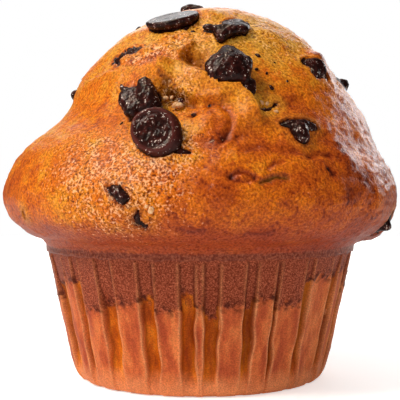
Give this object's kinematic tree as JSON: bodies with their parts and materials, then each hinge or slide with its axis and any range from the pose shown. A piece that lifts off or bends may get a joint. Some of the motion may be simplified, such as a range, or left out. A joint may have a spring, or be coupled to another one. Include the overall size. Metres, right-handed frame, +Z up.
{
  "type": "muffin",
  "caption": "Chocolate chip muffin: a risen, browned crown whose lip hangs over a pleated baking paper case.",
  "frame": {"origin": "under the middle of the case's flat floor", "axes": "+Z up, the shown side faces -Y, +X to the right seen from the front"},
  "size_m": [0.0782, 0.0782, 0.076],
  "materials": {
    "crust": null,
    "baking_paper": "pleated baking paper, tan and translucent with fat, pressed against brown crumb near its rim",
    "chocolate": null
  },
  "bodies": {
    "root": {"cake": "crust", "paper_case": "baking_paper", "chip_01": "chocolate", "chip_02": "chocolate", "chip_03": "chocolate", "chip_04": "chocolate", "chip_05": "chocolate", "chip_06": "chocolate", "chip_07": "chocolate", "chip_08": "chocolate", "chip_09": "chocolate", "chip_10": "chocolate", "chip_11": "chocolate", "chip_12": "chocolate", "chip_13": "chocolate", "chip_14": "chocolate", "chip_15": "chocolate", "chip_16": "chocolate", "chip_17": "chocolate", "chip_18": "chocolate", "chip_19": "chocolate", "chip_20": "chocolate", "chip_21": "chocolate", "chip_22": "chocolate", "chip_23": "chocolate", "chip_24": "chocolate", "chip_25": "chocolate", "chip_26": "chocolate", "chip_27": "chocolate", "chip_28": "chocolate"}
  },
  "joints": []
}
